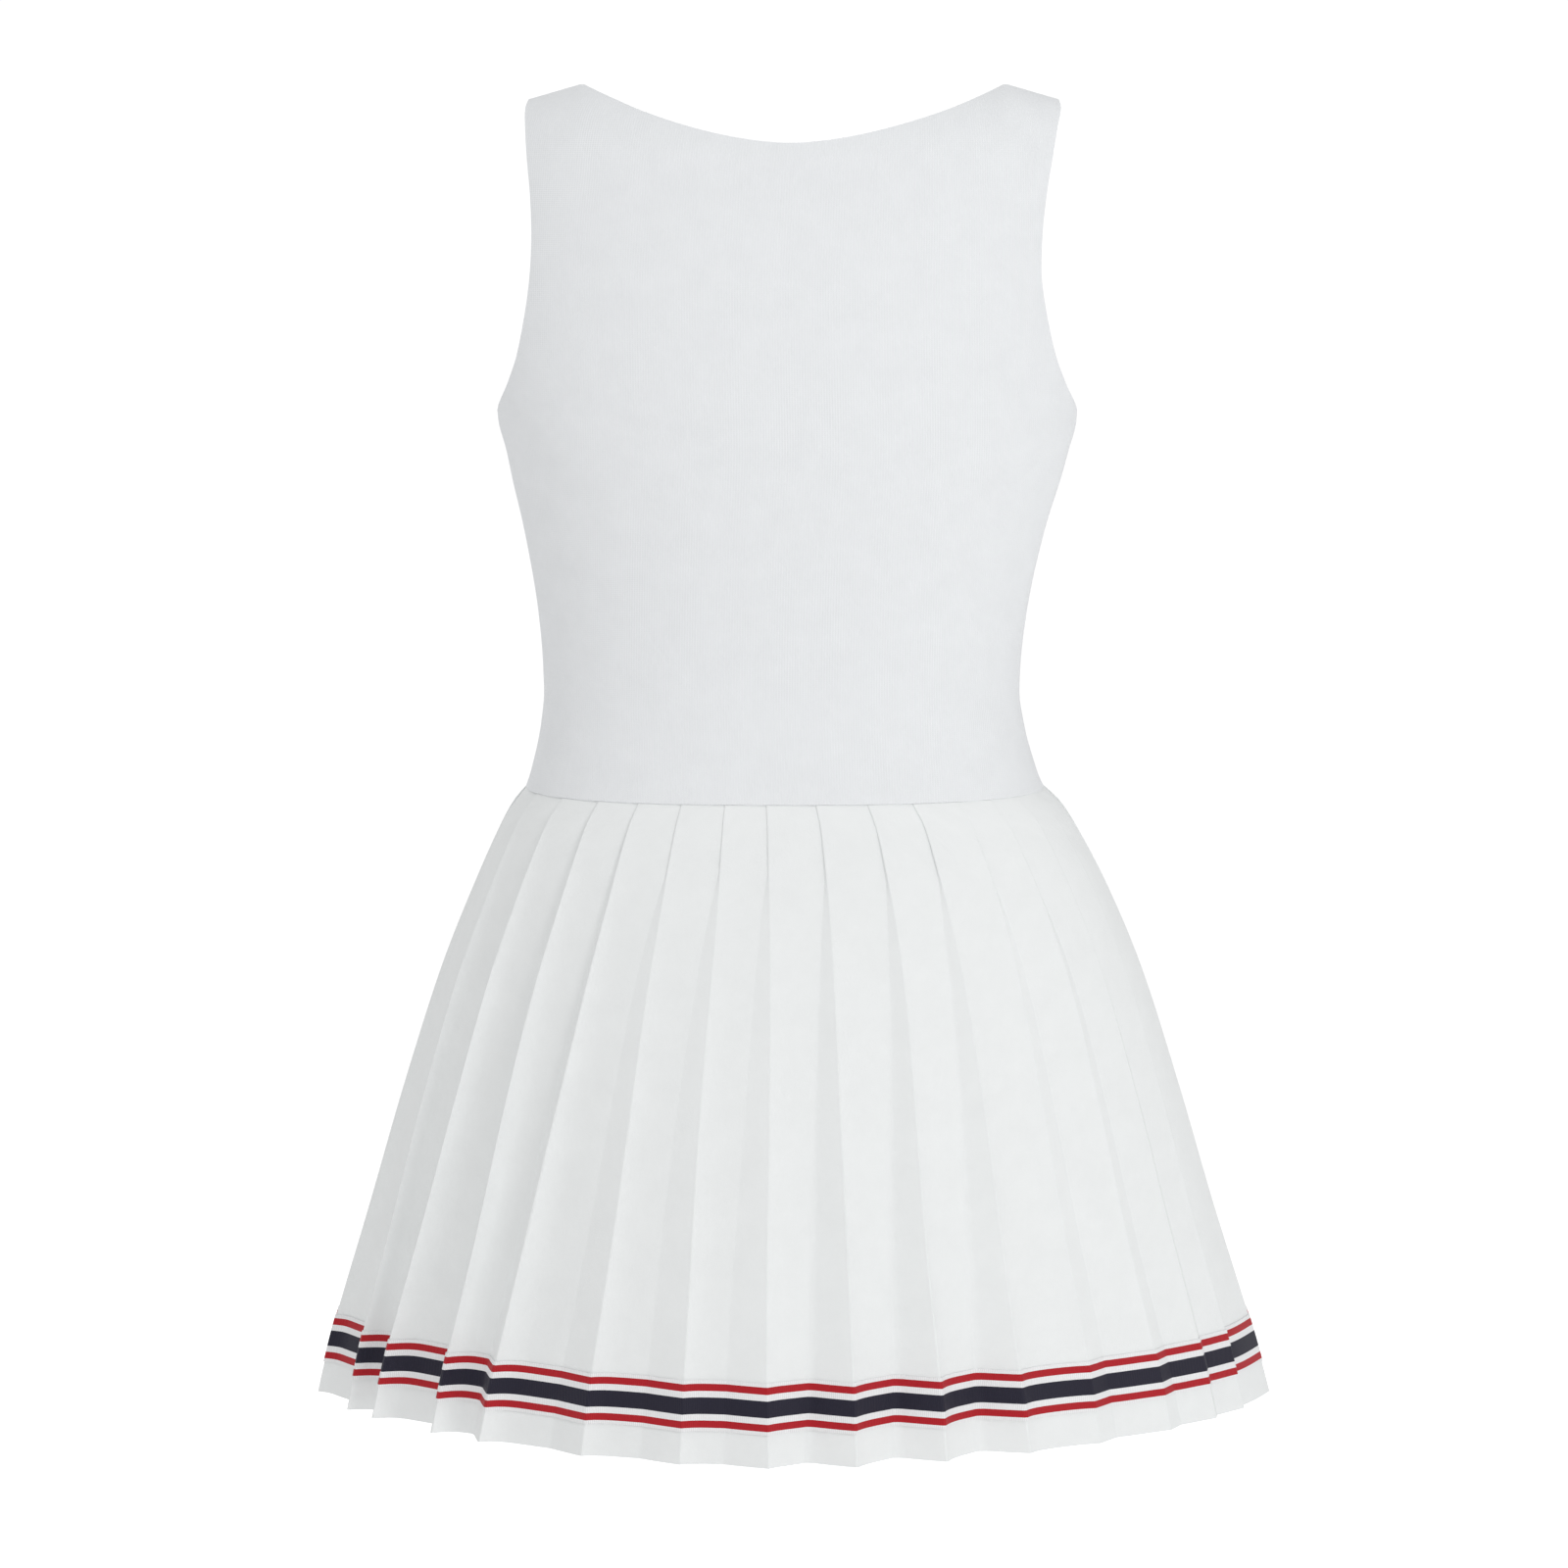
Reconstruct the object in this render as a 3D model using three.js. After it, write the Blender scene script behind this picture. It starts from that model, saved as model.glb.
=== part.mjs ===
// Sleeveless tennis dress: a smooth hollow bodice, a pleated skirt sewn on at a dropped waist,
// and a woven ribbon round the skirt above the hem. It keeps the form that it has when worn.
// Millimetres, +Z up. The back of the dress faces -Y and the front +Y.
// The origin lies midway between the two shoulder straps, level with their highest points.
import * as THREE from "three";

// Heights, measured down from the shoulders
const UNDERARM = -188;
const WAIST_SEAM = -405;
const RIBBON_TOP = -716;
const RIBBON_BOTTOM = -744;
const HEM = -762;

// Neckline and shoulder straps
const NECK_HALF_WIDTH = 121;
const STRAP_OUTER = 152.2;
const SHOULDER_DROP = 9;
const SHOULDER_ROUND = 45;

// Cloth: thickness of the walls, and the gap that parts two pieces at a seam
const CLOTH = 1.5;
const RIBBON = 1.0;
const SEAM_GAP = 0.3;

// Pleats where they are sewn into the seam: how far a fold stands proud of the face beside it, and how far
// it laps over that face. The cloth turns on a radius that is a share of the fold's depth, up to a limit.
const FOLD_DEPTH_AT_SEAM = 4.5;
const FOLD_LAP_AT_SEAM = 1.5;
const FOLD_RADIUS_SHARE = 0.27;
const FOLD_RADIUS_MOST = 2;

// The proud edge of a fold, from the riser onto its face, as shares of that radius
const proudEdge = [
  { along: 0, out: -1 },
  { along: 0.35, out: -0.3 },
  { along: 1.6, out: 0 },
];

// Points of the grids: columns across a bodice panel and a strap, and points between the folds of a pleat
const BODICE_COLUMNS = 28;
const STRAP_COLUMNS = 4;
const FACE_POINTS = 2;

// How much the columns of a bodice panel crowd towards the side seam: 1 is even steps round a half circle
const CROWDING = 0.87;

// A mitred corner reaches no further than its distance over this
const MITRE_LEAST = 0.5;

const white = new THREE.Color("#e9eaec");
const ribbonWhite = new THREE.Color("#f3f3f4");

// Half width of the cloth as seen from behind, down the armhole, the side seam and the skirt,
// and how far its middle hangs off the centre line
const outline = [
  { height: -9, halfWidth: 152.2, middle: 3.4 },
  { height: -14, halfWidth: 153.2, middle: 3 },
  { height: -24, halfWidth: 151.8, middle: 2 },
  { height: -42, halfWidth: 149.4, middle: 1 },
  { height: -64, halfWidth: 146.4, middle: 0.2 },
  { height: -86, halfWidth: 144.8, middle: -0.6 },
  { height: -109, halfWidth: 145.1, middle: -1.3 },
  { height: -131, halfWidth: 148.2, middle: -1.2 },
  { height: -154, halfWidth: 153.3, middle: -0.9 },
  { height: -170, halfWidth: 159.2, middle: -0.7 },
  { height: -188, halfWidth: 166.6, middle: -0.3 },
  { height: -211, halfWidth: 161.8, middle: -0.2 },
  { height: -256, halfWidth: 150.1, middle: -1.9 },
  { height: -302, halfWidth: 141.3, middle: -3 },
  { height: -347, halfWidth: 137.5, middle: -3.5 },
  { height: -370, halfWidth: 139.9, middle: -3 },
  { height: -393, halfWidth: 145.7, middle: -2.3 },
  { height: -405, halfWidth: 150.3, middle: -1.8 },
  { height: -416, halfWidth: 160, middle: -0.6 },
  { height: -430, halfWidth: 168.5, middle: 0.2 },
  { height: -462, halfWidth: 184.3, middle: 1.5 },
  { height: -508, halfWidth: 203.5, middle: 2.1 },
  { height: -578, halfWidth: 226.3, middle: 2.1 },
  { height: -648, halfWidth: 247, middle: 2.2 },
  { height: -716, halfWidth: 268.2, middle: 2.7 },
  { height: -744, halfWidth: 276, middle: 3.1 },
  { height: -762, halfWidth: 280.5, middle: 3.4 },
];

// Half width of the figure that fills the bodice above the underarm, where the armholes are cut out of it
const figure = [
  { height: 0, halfWidth: 168 },
  { height: -60, halfWidth: 168 },
  { height: -110, halfWidth: 169.5 },
  { height: -150, halfWidth: 171 },
  { height: -176, halfWidth: 169.5 },
  { height: -188, halfWidth: 166.8 },
];

// Depth from the side seam to the middle of the back and of the front, and the shape of the cross-section:
// a superellipse of power 2 is an ellipse, and a higher one is flatter in the middle and rounder at the sides
const depths = [
  { height: 0, back: 60, front: 58, roundness: 2.3 },
  { height: -40, back: 68, front: 64, roundness: 2.3 },
  { height: -70, back: 82, front: 78, roundness: 2.3 },
  { height: -110, back: 94, front: 94, roundness: 2.3 },
  { height: -150, back: 101, front: 108, roundness: 2.3 },
  { height: -190, back: 104, front: 119, roundness: 2.3 },
  { height: -230, back: 103, front: 123, roundness: 2.3 },
  { height: -270, back: 99, front: 117, roundness: 2.3 },
  { height: -310, back: 94, front: 106, roundness: 2.3 },
  { height: -347, back: 92, front: 98, roundness: 2.35 },
  { height: -380, back: 96, front: 100, roundness: 2.45 },
  { height: -405, back: 101, front: 104, roundness: 2.5 },
  { height: -430, back: 113, front: 116, roundness: 2.4 },
  { height: -462, back: 128, front: 130, roundness: 2.25 },
  { height: -520, back: 150, front: 151, roundness: 2.08 },
  { height: -578, back: 167, front: 168, roundness: 1.95 },
  { height: -648, back: 186, front: 187, roundness: 1.83 },
  { height: -716, back: 203, front: 204, roundness: 1.7 },
  { height: -762, back: 213, front: 214, roundness: 1.66 },
];

// Fold lines of one skirt panel, as shares of its half width at the waist seam and at the hem.
// Depth and lap are the fold's at the hem. Where the lap is below 0 the fold has opened into a soft slope.
// A fold faces -1, towards negative X, or 1, towards positive X.
const backFolds = [
  { atSeam: -0.997, atHem: -0.996, depth: 8, lap: 1.5, faces: -1 },
  { atSeam: -0.949, atHem: -0.924, depth: 8, lap: 1.5, faces: -1 },
  { atSeam: -0.846, atHem: -0.868, depth: 8, lap: 1, faces: -1 },
  { atSeam: -0.706, atHem: -0.74, depth: 8, lap: -3, faces: -1 },
  { atSeam: -0.553, atHem: -0.64, depth: 7, lap: -5, faces: -1 },
  { atSeam: -0.389, atHem: -0.431, depth: 4, lap: -6, faces: -1 },
  { atSeam: -0.225, atHem: -0.234, depth: 3, lap: -6, faces: -1 },
  { atSeam: -0.068, atHem: -0.058, depth: 2.5, lap: -6, faces: -1 },
  { atSeam: 0.119, atHem: 0.118, depth: 2.5, lap: -6, faces: 1 },
  { atSeam: 0.314, atHem: 0.298, depth: 3, lap: -6, faces: 1 },
  { atSeam: 0.485, atHem: 0.467, depth: 4, lap: -4, faces: 1 },
  { atSeam: 0.65, atHem: 0.619, depth: 5, lap: -2, faces: 1 },
  { atSeam: 0.78, atHem: 0.77, depth: 7, lap: 0, faces: 1 },
  { atSeam: 0.885, atHem: 0.868, depth: 8, lap: 1.5, faces: 1 },
  { atSeam: 0.955, atHem: 0.932, depth: 8, lap: 1.5, faces: 1 },
  { atSeam: 0.997, atHem: 0.996, depth: 8, lap: 1.5, faces: 1 },
];
const frontFolds = [
  { atSeam: -0.997, atHem: -0.996, depth: 8, lap: 1.5, faces: -1 },
  { atSeam: -0.952, atHem: -0.93, depth: 8, lap: 1.5, faces: -1 },
  { atSeam: -0.876, atHem: -0.86, depth: 8, lap: 1, faces: -1 },
  { atSeam: -0.764, atHem: -0.752, depth: 7, lap: -1, faces: -1 },
  { atSeam: -0.618, atHem: -0.62, depth: 6, lap: -3, faces: -1 },
  { atSeam: -0.455, atHem: -0.448, depth: 5, lap: -4, faces: -1 },
  { atSeam: -0.276, atHem: -0.268, depth: 4, lap: -5, faces: -1 },
  { atSeam: -0.092, atHem: -0.09, depth: 4, lap: -5, faces: -1 },
  { atSeam: 0.092, atHem: 0.086, depth: 4, lap: -5, faces: 1 },
  { atSeam: 0.276, atHem: 0.274, depth: 4, lap: -5, faces: 1 },
  { atSeam: 0.455, atHem: 0.456, depth: 5, lap: -3, faces: 1 },
  { atSeam: 0.618, atHem: 0.61, depth: 6, lap: -3, faces: 1 },
  { atSeam: 0.764, atHem: 0.758, depth: 7, lap: -1, faces: 1 },
  { atSeam: 0.876, atHem: 0.868, depth: 8, lap: 1.5, faces: 1 },
  { atSeam: 0.952, atHem: 0.934, depth: 8, lap: 1.5, faces: 1 },
  { atSeam: 0.997, atHem: 0.996, depth: 8, lap: 1.5, faces: 1 },
];

// Two sides of the dress: the sign of Y, the column of depths, the drop of the neckline and the folds
const back = { sign: -1, depth: "back", neckDrop: 33, neckPower: 1.75, folds: backFolds };
const front = { sign: 1, depth: "front", neckDrop: 104, neckPower: 2.3, folds: frontFolds };

const mix = (from, to, share) => from + (to - from) * share;
const clamp = (value, low, high) => Math.min(high, Math.max(low, value));

// Smooth curve through one column of a table, with the rows ordered from the top down
function read(table, column, height) {
  const last = table.length - 1;
  if (height >= table[0].height) return table[0][column];
  if (height <= table[last].height) return table[last][column];
  const row = table.findIndex((entry) => entry.height <= height) - 1;
  const slope = (index) => {
    const above = table[Math.max(index - 1, 0)];
    const below = table[Math.min(index + 1, last)];
    return (below[column] - above[column]) / (below.height - above.height);
  };
  const { height: top, [column]: start } = table[row];
  const { height: bottom, [column]: end } = table[row + 1];
  const span = bottom - top;
  const t = (height - top) / span;
  const bend = (1 - t) * (slope(row) * span * (1 - t) - slope(row + 1) * span * t);
  return start + (end - start) * t * t * (3 - 2 * t) + bend * t;
}

// The shoulder line falls away from the neck towards the armhole
const shoulderLine = (x) =>
  -SHOULDER_DROP * clamp((Math.abs(x) - NECK_HALF_WIDTH) / (STRAP_OUTER - NECK_HALF_WIDTH), 0, 1);

// Height of the bodice's upper edge: the neckline between the straps, the shoulder line across them
function upperEdge(side, x) {
  const share = Math.abs(x) / NECK_HALF_WIDTH;
  return share >= 1 ? shoulderLine(x) : -side.neckDrop * (1 - share ** side.neckPower);
}

// Depth of the figure at a point seen from behind, rounding over to nothing on top of the shoulder
function figureDepth(side, x, height) {
  const below = Math.min(height - shoulderLine(x), 0);
  const overShoulder = below < -SHOULDER_ROUND ? 1 : Math.sqrt(1 - (1 + below / SHOULDER_ROUND) ** 2);
  const halfWidth = height > UNDERARM ? read(figure, "halfWidth", height) : read(outline, "halfWidth", height);
  const share = Math.min(Math.abs(x) / halfWidth, 1);
  const roundness = read(depths, "roundness", height);
  const round = (1 - share ** roundness) ** (1 / roundness);
  return read(depths, side.depth, height) * overShoulder * round;
}

// Closed wall between an outer and an inner grid of points, each a list of rows
function wall(outer, inner) {
  const rows = outer.length;
  const columns = outer[0].length;
  const points = [...outer.flat(), ...inner.flat()];
  const out = (row, column) => row * columns + column;
  const within = (row, column) => rows * columns + row * columns + column;
  const index = [];
  const quad = (a, b, c, d) => {
    const shortCut = points[a].distanceToSquared(points[c]) <= points[b].distanceToSquared(points[d]);
    index.push(...(shortCut ? [a, b, c, a, c, d] : [a, b, d, b, c, d]));
  };
  for (let row = 0; row < rows - 1; row += 1) {
    for (let column = 0; column < columns - 1; column += 1) {
      quad(out(row, column), out(row + 1, column), out(row + 1, column + 1), out(row, column + 1));
      quad(within(row, column), within(row, column + 1), within(row + 1, column + 1), within(row + 1, column));
    }
    const end = columns - 1;
    quad(out(row, 0), within(row, 0), within(row + 1, 0), out(row + 1, 0));
    quad(out(row, end), out(row + 1, end), within(row + 1, end), within(row, end));
  }
  for (let column = 0; column < columns - 1; column += 1) {
    const end = rows - 1;
    quad(out(0, column), out(0, column + 1), within(0, column + 1), within(0, column));
    quad(out(end, column), within(end, column), within(end, column + 1), out(end, column + 1));
  }
  const geometry = new THREE.BufferGeometry().setFromPoints(points);
  geometry.setIndex(volume(points, index) > 0 ? index : flipped(index));
  geometry.computeVertexNormals();
  return geometry;
}

function volume(points, index) {
  let total = 0;
  const cross = new THREE.Vector3();
  for (let i = 0; i < index.length; i += 3) {
    cross.crossVectors(points[index[i + 1]], points[index[i + 2]]);
    total += points[index[i]].dot(cross) / 6;
  }
  return total;
}

function flipped(index) {
  const turned = [];
  for (let i = 0; i < index.length; i += 3) turned.push(index[i], index[i + 2], index[i + 1]);
  return turned;
}

// Bodice panel: level rows up to the chest, then rows that spread up to the neckline and the shoulders
const levelRows = [-376, -347, -318, -288, -256, -226, -204, UNDERARM, -185, -176, -162, -142, -116];
const upperShares = [0.3, 0.56, 0.76, 0.89, 0.96, 1];

function bodicePanel(side) {
  const seam = WAIST_SEAM + SEAM_GAP / 2;
  const yoke = levelRows[levelRows.length - 1];
  const columns = Array.from({ length: BODICE_COLUMNS + 1 }, (_, i) => (2 * i) / BODICE_COLUMNS - 1);

  // Columns crowd towards the side seam, where the cloth turns round the figure, and spread at the shoulders
  const wrapped = (column) => Math.sign(column) * Math.sin((Math.abs(column) * Math.PI) / 2) ** CROWDING;
  const strapShare = NECK_HALF_WIDTH / STRAP_OUTER;
  const strapStart = 1 - (2 * STRAP_COLUMNS) / BODICE_COLUMNS;
  const spread = (column) => {
    const size = Math.abs(column);
    const share = size < strapStart
      ? (size / strapStart) * strapShare
      : mix(strapShare, 1, (size - strapStart) / (1 - strapStart));
    return Math.sign(column) * share;
  };
  const place = (column, height, spreadShare) => {
    const share = mix(wrapped(column), spread(column), spreadShare);
    const x = read(outline, "halfWidth", height) * share;
    const y = Math.abs(column) === 1 && height <= UNDERARM ? 0 : figureDepth(side, x, height);
    const middle = read(outline, "middle", height);
    return new THREE.Vector3(middle + x, side.sign * Math.max(y, SEAM_GAP / 2), height);
  };
  const outer = [seam, ...levelRows].map((height) => {
    const spreadShare = clamp((height - UNDERARM) / (yoke - UNDERARM), 0, 1);
    return columns.map((column) => place(column, height, spreadShare));
  });
  for (const share of upperShares) {
    outer.push(columns.map((column) => {
      const top = upperEdge(side, spread(column) * STRAP_OUTER);
      return place(column, mix(yoke, top, share), 1);
    }));
  }
  return wall(outer, thickened(outer, CLOTH));
}

// Inner face of a bodice panel: each point moves in along the cloth's normal. Points on the waist seam keep
// their height, and points on the side and shoulder seams stay in the seam's plane.
function thickened(outer, thickness) {
  const lastRow = outer.length - 1;
  const lastColumn = outer[0].length - 1;
  return outer.map((points, row) => points.map((point, column) => {
    const up = outer[Math.min(row + 1, lastRow)][column].clone();
    up.sub(outer[Math.max(row - 1, 0)][column]);
    const across = points[Math.min(column + 1, lastColumn)].clone();
    across.sub(points[Math.max(column - 1, 0)]);
    const normal = new THREE.Vector3().crossVectors(up, across);
    if (row === 0) normal.z = 0;
    if (Math.abs(point.y) <= SEAM_GAP / 2 + 1e-6) normal.y = 0;
    normal.normalize();
    const outwards = normal.x * point.x + normal.y * point.y + normal.z * (point.z - WAIST_SEAM);
    return point.clone().addScaledVector(normal, outwards > 0 ? -thickness : thickness);
  }));
}

// Plan of the skirt at one height: a point of the superellipse, with its directions along and out.
// The turn runs from -90 degrees at one side seam, through 0 at the middle, to 90 at the other.
function planPoint(side, height, turn) {
  const halfWidth = read(outline, "halfWidth", height);
  const depth = read(depths, side.depth, height);
  const roundness = read(depths, "roundness", height);
  const power = 2 / roundness;
  const xShare = Math.sign(turn) * Math.abs(Math.sin(turn)) ** power;
  const yShare = Math.abs(Math.cos(turn)) ** power;
  const slopeX = (Math.sign(turn) * Math.abs(xShare) ** (roundness - 1)) / halfWidth;
  const slopeY = yShare ** (roundness - 1) / depth;
  const length = Math.hypot(slopeX, slopeY);
  const out = new THREE.Vector2(slopeX / length, (side.sign * slopeY) / length);
  const along = new THREE.Vector2(Math.abs(out.y), -side.sign * out.x);
  const x = read(outline, "middle", height) + halfWidth * xShare;
  const at = new THREE.Vector2(x, side.sign * depth * yShare);
  return { at, along, out };
}

function turnOf(share, height) {
  const roundness = read(depths, "roundness", height);
  return Math.sign(share) * Math.asin(Math.abs(share) ** (roundness / 2));
}

// Middle line of the pleated cloth at one height, as points [x, y] from one side seam to the other.
// A fold rises from the inner turn, laps back and comes round the proud edge onto the next face.
function pleatedLine(side, height) {
  const fall = clamp((WAIST_SEAM - height) / (WAIST_SEAM - HEM), 0, 1);
  const folds = side.folds.map((fold) => ({
    turn: turnOf(mix(fold.atSeam, fold.atHem, fall), height),
    depth: mix(FOLD_DEPTH_AT_SEAM, fold.depth, fall),
    lap: mix(FOLD_LAP_AT_SEAM, fold.lap, fall),
    faces: fold.faces,
  }));
  const seamTurn = Math.PI / 2;
  const first = { turn: -seamTurn, depth: folds[0].depth, faces: 1 };
  const last = { turn: seamTurn, depth: folds[folds.length - 1].depth, faces: -1 };
  const line = [];
  const add = (turn, along, outwards) => {
    const plan = planPoint(side, height, turn);
    line.push(plan.at.clone().addScaledVector(plan.along, along).addScaledVector(plan.out, outwards));
  };
  // A face is proud at the end where its own fold is, and low where it runs in under the next one
  const face = (from, to) => {
    const start = from.faces < 0 ? 0 : -from.depth;
    const end = to.faces > 0 ? 0 : -to.depth;
    for (let step = 1; step <= FACE_POINTS; step += 1) {
      const share = step / (FACE_POINTS + 1);
      add(mix(from.turn, to.turn, share), 0, mix(start, end, share));
    }
  };
  add(-seamTurn, 0, -first.depth);
  folds.forEach((fold, index) => {
    face(index === 0 ? first : folds[index - 1], fold);
    const points = foldProfile(fold);
    for (const point of fold.faces < 0 ? points : points.reverse()) {
      add(fold.turn, -fold.faces * point.along, point.out);
    }
  });
  face(folds[folds.length - 1], last);
  add(seamTurn, 0, -last.depth);
  return line;
}

// One fold from its inner turn to its proud edge, seen with the proud edge on the left
function foldProfile({ depth, lap }) {
  const radius = Math.min(FOLD_RADIUS_SHARE * depth, FOLD_RADIUS_MOST);
  return [
    { along: lap - radius, out: -depth },
    { along: lap, out: radius - depth },
    ...proudEdge.map((point) => ({ along: point.along * radius, out: point.out * radius })),
  ];
}

// The same line moved outwards, with mitred corners. Its two ends stay in the plane of the side seams.
function moved(line, side, distance) {
  const lean = (from, to) => {
    const direction = to.clone().sub(from).normalize();
    return new THREE.Vector2(direction.y, -direction.x).multiplyScalar(-side.sign);
  };
  return line.map((point, index) => {
    const before = line[Math.max(index - 1, 0)];
    const after = line[Math.min(index + 1, line.length - 1)];
    if (index === 0) return point.clone().add(new THREE.Vector2(-distance, 0));
    if (index === line.length - 1) return point.clone().add(new THREE.Vector2(distance, 0));
    const first = lean(before, point);
    const second = lean(point, after);
    const mitre = first.clone().add(second).normalize();
    return point.clone().addScaledVector(mitre, distance / Math.max(mitre.dot(first), MITRE_LEAST));
  });
}

// A stretch of the skirt between two distances from the cloth's middle line, through the given heights
function pleatedWall(side, heights, innerDistance, outerDistance) {
  const layer = (distance) => heights.map((height) => {
    const line = moved(pleatedLine(side, height), side, distance);
    return line.map((point, index) => {
      const atSeam = index === 0 || index === line.length - 1;
      const y = atSeam ? (side.sign * SEAM_GAP) / 2 : point.y;
      return new THREE.Vector3(point.x, y, height);
    });
  });
  return wall(layer(outerDistance), layer(innerDistance));
}

const skirtRows = [WAIST_SEAM - SEAM_GAP / 2, -417, -436, -480, -560, -640, RIBBON_TOP, RIBBON_BOTTOM, HEM];
const skirtPanel = (side) => pleatedWall(side, skirtRows, -CLOTH / 2, CLOTH / 2);

function ribbonPiece(side) {
  const seat = CLOTH / 2 + SEAM_GAP;
  return pleatedWall(side, [RIBBON_TOP, RIBBON_BOTTOM], seat, seat + RIBBON);
}

function piece(name, geometry, color, roughness) {
  const material = new THREE.MeshStandardMaterial({ color, roughness, metalness: 0 });
  const mesh = new THREE.Mesh(geometry, material);
  mesh.name = name;
  return mesh;
}

const dress = new THREE.Group();
dress.add(piece("bodice_back", bodicePanel(back), white, 0.85));
dress.add(piece("bodice_front", bodicePanel(front), white, 0.85));
dress.add(piece("skirt_back", skirtPanel(back), white, 0.85));
dress.add(piece("skirt_front", skirtPanel(front), white, 0.85));
dress.add(piece("ribbon_back", ribbonPiece(back), ribbonWhite, 0.6));
dress.add(piece("ribbon_front", ribbonPiece(front), ribbonWhite, 0.6));

export default dress;
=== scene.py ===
# %% [markdown]
# # A pleated tennis dress
# The real dress is sewn from six cut pieces: the back and the front of a smooth sleeveless bodice, the back
# and the front of a pleated skirt, and a woven ribbon in two lengths that runs round above the hem.
# A imported CAD model gives the form that the dress keeps when it is worn. Each piece of cloth made here is a
# thin shell that lies on the form of its own solid, so nothing has to be fitted afterwards.

# %% Load the CAD model
import math

import bpy
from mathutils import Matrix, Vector


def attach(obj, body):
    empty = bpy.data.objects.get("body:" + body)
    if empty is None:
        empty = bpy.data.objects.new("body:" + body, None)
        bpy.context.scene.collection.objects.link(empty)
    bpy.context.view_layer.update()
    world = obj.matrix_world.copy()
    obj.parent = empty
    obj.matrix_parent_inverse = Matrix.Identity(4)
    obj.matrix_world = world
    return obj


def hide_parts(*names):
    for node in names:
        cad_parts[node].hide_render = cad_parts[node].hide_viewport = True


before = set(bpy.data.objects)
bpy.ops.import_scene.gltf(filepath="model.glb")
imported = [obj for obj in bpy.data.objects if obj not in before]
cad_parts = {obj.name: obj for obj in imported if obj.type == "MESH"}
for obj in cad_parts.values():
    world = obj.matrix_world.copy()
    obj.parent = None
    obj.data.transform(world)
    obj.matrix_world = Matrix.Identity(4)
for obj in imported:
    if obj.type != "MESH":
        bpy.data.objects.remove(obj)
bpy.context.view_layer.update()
print("CAD nodes:", ", ".join(sorted(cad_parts)))

# %% [markdown]
# ## Camera, light and floor
# A garment is photographed from a few metres away with a long lens, so that its sides stay upright. The
# camera stands level with the shoulders and looks a little down. It could be aimed with a constraint, but a
# plain turn about X is easier to read. The light is a broad soft lamp on the right, in a bright white room,
# which leaves the pleats with gentle shadows on their left. Weaker lamps stand above the left shoulder, at
# the right side and behind the dress. The standard view keeps white as white.

# %% Camera
CAMERA_PLACE = (-0.0022, -3.5, 0.0034)
CAMERA_TILT = 83.351  # degrees up from straight down
SENSOR_WIDTH = 36  # mm, as on a full-frame camera
LENS = 139  # mm
bpy.ops.object.select_all(action="DESELECT")
bpy.ops.object.camera_add(location=CAMERA_PLACE, rotation=(math.radians(CAMERA_TILT), 0, 0))
camera = bpy.context.object
camera.name = "camera"
camera.data.sensor_width = SENSOR_WIDTH
camera.data.lens = LENS
bpy.context.scene.camera = camera
bpy.context.scene.view_settings.view_transform = "Standard"
print("camera lens in mm:", camera.data.lens)


# %% Lights: place and target in metres, size in metres, power in watts
def add_lamp(name, place, target, size, power):
    aim = (Vector(target) - Vector(place)).to_track_quat("-Z", "Y").to_euler()
    bpy.ops.object.light_add(type="AREA", location=place, rotation=aim)
    lamp = bpy.context.object
    lamp.name = name
    lamp.data.shape = "SQUARE"
    lamp.data.size = size
    lamp.data.energy = power
    return lamp


add_lamp("key", (2.1, -2.85, 0.9), (0, 0, -0.4), 1.2, 30)
add_lamp("top", (-0.8, -1.3, 2.3), (0, 0, -0.3), 2.0, 18)
add_lamp("side", (3.2, -0.9, 0.3), (0, 0, -0.4), 1.6, 4)
add_lamp("front side", (-0.6, 3.2, 0.8), (0, 0, -0.4), 2.4, 22)


# %% [markdown]
# ## A small helper for materials
# Every material below is built from nodes. One function adds a node, sets it and links it, and another turns
# the colours, which are written as on a screen, into the linear values that the shader works with.

# %% Node and colour helpers
def add_node(tree, kind, inputs=None, **settings):
    new = tree.nodes.new(kind)
    for name, value in settings.items():
        setattr(new, name, value)
    for name, value in (inputs or {}).items():
        if isinstance(value, bpy.types.NodeSocket):
            tree.links.new(value, new.inputs[name])
        else:
            new.inputs[name].default_value = value
    return new


def linear(code):
    channels = [int(code[i:i + 2], 16) / 255 for i in (1, 3, 5)]
    return [c / 12.92 if c <= 0.04045 else ((c + 0.055) / 1.055) ** 2.4 for c in channels] + [1]


def start_material(name):
    material = bpy.data.materials.new(name)
    material.use_nodes = True
    return material, material.node_tree, material.node_tree.nodes["Principled BSDF"]


print("white in linear values:", linear("#e9eaec"))

# %% [markdown]
# The room itself is the background light. The camera sees it as plain white, as in a catalogue picture, and
# the cloth receives less of it, so that the folds still show. The floor lies far below, at a standing height,
# and its paper glows a little for the same reason: seen directly it is white, and it hardly lights the hem.

# %% White room and floor
room = bpy.data.worlds.new("white room")
room.use_nodes = True
bpy.context.scene.world = room
room_tree = room.node_tree
ROOM_LIGHT = 0.55
ROOM_EXTRA_SEEN = 0.5
seen = add_node(room_tree, "ShaderNodeLightPath").outputs["Is Camera Ray"]
amounts = {0: seen, 1: ROOM_EXTRA_SEEN, 2: ROOM_LIGHT}
strength = add_node(room_tree, "ShaderNodeMath", amounts, operation="MULTIPLY_ADD")
background = room_tree.nodes["Background"]
background.inputs["Color"].default_value = (1, 1, 1, 1)
room_tree.links.new(strength.outputs[0], background.inputs["Strength"])

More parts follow.
